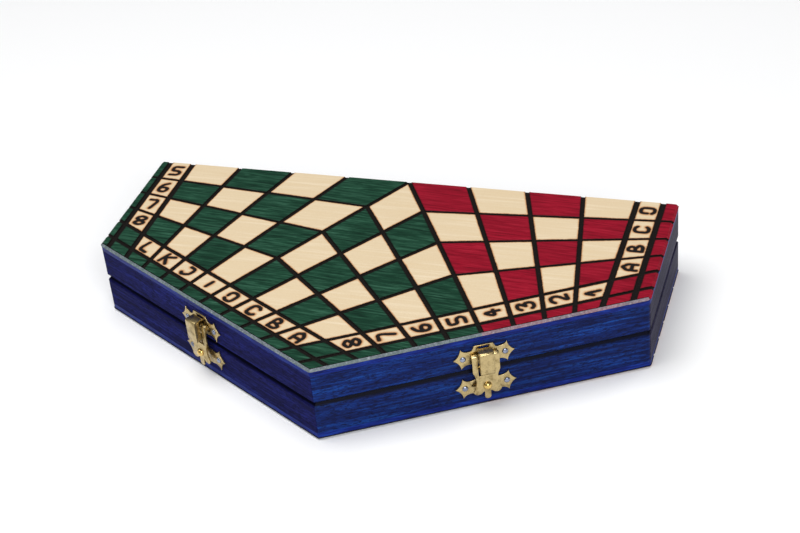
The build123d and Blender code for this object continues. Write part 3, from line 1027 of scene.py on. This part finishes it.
def soft_copy(node_name, body, finish, width=0.16, tongue=None):
    """A copy of a CAD node with merged faces and softened edges, which takes its place."""
    name = "soft_" + node_name
    made = bmesh.new()
    made.from_mesh(nodes[node_name].data)
    bmesh.ops.remove_doubles(made, verts=made.verts[:], dist=0.000004)
    if tongue:
        slim_tongue(made, tongue)
    bmesh.ops.dissolve_limit(
        made, angle_limit=math.radians(1.5), verts=made.verts[:], edges=made.edges[:]
    )
    mesh = bpy.data.meshes.new(name)
    made.to_mesh(mesh)
    made.free()
    mesh.materials.append(finish)
    thing = add_object(name, mesh)
    edge = thing.modifiers.new("softened_edges", "BEVEL")
    edge.width, edge.segments, edge.limit_method = width * MM, 2, "ANGLE"
    edge.angle_limit = math.radians(35)
    edge.use_clamp_overlap = True
    bpy.context.view_layer.update()
    seen = thing.evaluated_get(bpy.context.evaluated_depsgraph_get())
    thing.data = bpy.data.meshes.new_from_object(seen)
    thing.modifiers.clear()
    thing.data.name = name
    thing.data.shade_smooth()
    thing.data.set_sharp_from_angle(angle=math.radians(38))
    finish_piece(thing, body, "brass", node_name)
    print(name, len(thing.data.polygons), "faces")


# %% Latches
for label, angle in (("left", 240), ("right", 300)):
    for part, body in (
        ("strike_plate", "upper_half"),
        ("base_plate", "lower_half"),
        ("lever", label + "_lever"),
        ("strap", label + "_strap"),
    ):
        tongue = angle if part == "lever" else None
        soft_copy(f"{label}_latch_{part}", body, satin_brass, tongue=tongue)
    for part in ("lever_pin", "strap_pin"):
        dress(nodes[f"{label}_latch_{part}"], bright_brass)

# %% [markdown]
# ## Round-headed nails
# Eight small nails hold the latches, and each lever has a domed knob of the same kind. Geometry
# Nodes make one nail and put it on the points of a tiny mesh. Its head is a ball with the lower
# half pressed flat, and its shank is a rod. The sizes are named inputs, so the knobs come from
# the same tree.

# %% Node group for the nails
NAIL_REACH, NAIL_HEIGHT, SHEET_THICK = 10.25, 8.6, 0.8
LEVER_FRONT, KNOB_DROP = 3.65, 6.9
NAIL_SIZES = {
    "Head Radius": 1.5, "Head Height": 0.75, "Shank Radius": 0.58, "Shank Length": 6.2,
}


def nail_group():
    others = {"Outwards": "NodeSocketVector", "Finish": "NodeSocketMaterial"}
    tree, source = geometry_group("round_headed_nails", NAIL_SIZES, others)
    wide, high, long = (source[title] for title in ("Head Radius", "Head Height", "Shank Length"))
    ball = add_node(tree, "GeometryNodeMeshUVSphere", {"Segments": 32, "Rings": 16, "Radius": 1.0})
    where = add_node(tree, "GeometryNodeInputPosition")
    axes = add_node(tree, "ShaderNodeSeparateXYZ", {0: where.outputs[0]})
    flat = math_node(tree, "MAXIMUM", axes.outputs[2], 0.0)
    level = add_node(tree, "ShaderNodeCombineXYZ", {
        0: axes.outputs[0], 1: axes.outputs[1], 2: flat,
    })
    dome = add_node(tree, "GeometryNodeSetPosition", {
        "Geometry": ball.outputs["Mesh"], "Position": level.outputs[0],
    })
    size = add_node(tree, "ShaderNodeCombineXYZ", {0: wide, 1: wide, 2: high})
    head = add_node(tree, "GeometryNodeTransform", {
        "Geometry": dome.outputs[0], "Scale": size.outputs[0],
    })
    rod = add_node(tree, "GeometryNodeMeshCylinder", {
        "Vertices": 16, "Radius": source["Shank Radius"], "Depth": long,
    })
    down = add_node(tree, "ShaderNodeCombineXYZ", {2: math_node(tree, "MULTIPLY", long, -0.49)})
    shank = add_node(tree, "GeometryNodeTransform", {
        "Geometry": rod.outputs["Mesh"], "Translation": down.outputs[0],
    })
    nail = add_node(tree, "GeometryNodeJoinGeometry")
    tree.links.new(shank.outputs[0], nail.inputs[0])
    tree.links.new(head.outputs[0], nail.inputs[0])
    turn = add_node(
        tree, "FunctionNodeAlignRotationToVector", {"Vector": source["Outwards"]}, axis="Z"
    )
    spots = add_node(tree, "GeometryNodeInstanceOnPoints", {
        "Points": source["Geometry"], "Instance": nail.outputs[0], "Rotation": turn.outputs[0],
    })
    real = add_node(tree, "GeometryNodeRealizeInstances", {0: spots.outputs[0]})
    smooth = add_node(tree, "GeometryNodeSetShadeSmooth", {0: real.outputs[0]})
    steel = add_node(tree, "GeometryNodeSetMaterial", {
        "Geometry": smooth.outputs[0], "Material": source["Finish"],
    })
    return finish_group(tree, steel)


# %% Set the nails and knobs
nailer = nail_group()


def nails_on(name, spots, outwards, **settings):
    """Sets a nail on each spot of the plan, at its rise above the split, in millimetres."""
    mesh = bpy.data.meshes.new(name)
    places = [Vector((spot.x, spot.y + FOLD_Y, SPLIT + rise)) * MM for spot, rise in spots]
    mesh.from_pydata(places, [], [])
    facing = (outwards.x, outwards.y, 0)
    return apply_group(add_object(name, mesh), nailer, outwards=facing, **settings)


for label, angle in (("left", 240), ("right", 300)):
    outwards = unit(angle)
    along = Vector((-outwards.y, outwards.x))
    for part, body, rise in (
        ("strike", "upper_half", NAIL_HEIGHT), ("base", "lower_half", -NAIL_HEIGHT),
    ):
        sheet = outwards * (APOTHEM + SHEET_THICK)
        spots = [(sheet + along * way * NAIL_REACH, rise) for way in (-1, 1)]
        thing = nails_on(f"{label}_{part}_nails", spots, outwards, finish=nail_steel)
        finish_piece(thing, body, "steel_nails", f"{label}_latch_{part}_nails")
    spots = [(outwards * (APOTHEM + LEVER_FRONT), -KNOB_DROP)]
    knob = nails_on(
        label + "_lever_knob", spots, outwards, head_radius=2.15 * MM, head_height=1.85 * MM,
        shank_radius=1.2 * MM, shank_length=0.6 * MM, finish=bright_brass,
    )
    finish_piece(knob, label + "_lever", "brass")

# %% [markdown]
# ## Hinges
# Two small butt hinges are let into the rims behind. They can hardly be seen when the box is
# shut, but they show when it opens. Their leaves get the same softened copies as the latches,
# and the tiny countersunk nails and pins keep their CAD shapes.

# %% Hinges
for label in ("left", "right"):
    for half in ("upper", "lower"):
        soft_copy(f"{label}_hinge_{half}_leaf", half + "_half", satin_brass, width=0.08)
    for part in ("pin", "upper_nails", "lower_nails"):
        dress(nodes[f"{label}_hinge_{part}"], bright_brass)
print("hinges dressed")

# %% [markdown]
# ## Stage
# The photograph looks as if it was taken in a light tent: soft light from all round, brightest
# from above and from the right. A plain pale floor, four area lights and a pale world do the
# same.

# %% Floor, lights and world
LIT_POINT = (0, 0, 0.03)
FLOOR_REACH = 3.0


def floor_piece():
    made, _, _ = material("pale_floor", Base_Color=(0.95, 0.95, 0.95, 1), Roughness=0.8)
    mesh = bpy.data.meshes.new("floor")
    ways = ((-1, -1), (1, -1), (1, 1), (-1, 1))
    corners = [(x * FLOOR_REACH, y * FLOOR_REACH, 0) for x, y in ways]
    mesh.from_pydata(corners, [], [(0, 1, 2, 3)])
    mesh.materials.append(made)
    thing = add_object("floor", mesh)


def soft_light(name, place, size, power):
    """A round lamp that looks at a point in the upper tray."""
    lamp = bpy.data.lights.new(name, "AREA")
    lamp.shape, lamp.size, lamp.energy = "DISK", size, power
    thing = add_object(name, lamp)
    thing.location = place
    line = Vector(LIT_POINT) - Vector(place)
    thing.rotation_euler = line.to_track_quat("-Z", "Y").to_euler()


floor_piece()
soft_light("key_light", (0.7, -1.1, 0.8), 0.8, 12)
soft_light("top_light", (-0.3, -0.1, 1.5), 1.2, 17)
soft_light("fill_light", (-1.1, -0.5, 0.8), 1.0, 2)
soft_light("back_light", (0.9, 1.0, 1.2), 0.8, 4)
world = bpy.data.worlds.new("light_tent")
world.use_nodes = True
sky = world.node_tree.nodes["Background"].inputs
sky["Color"].default_value = (0.95, 0.97, 1.0, 1)
sky["Strength"].default_value = 0.2
scene.world = world
scene.view_settings.view_transform = "Standard"
print("stage set")
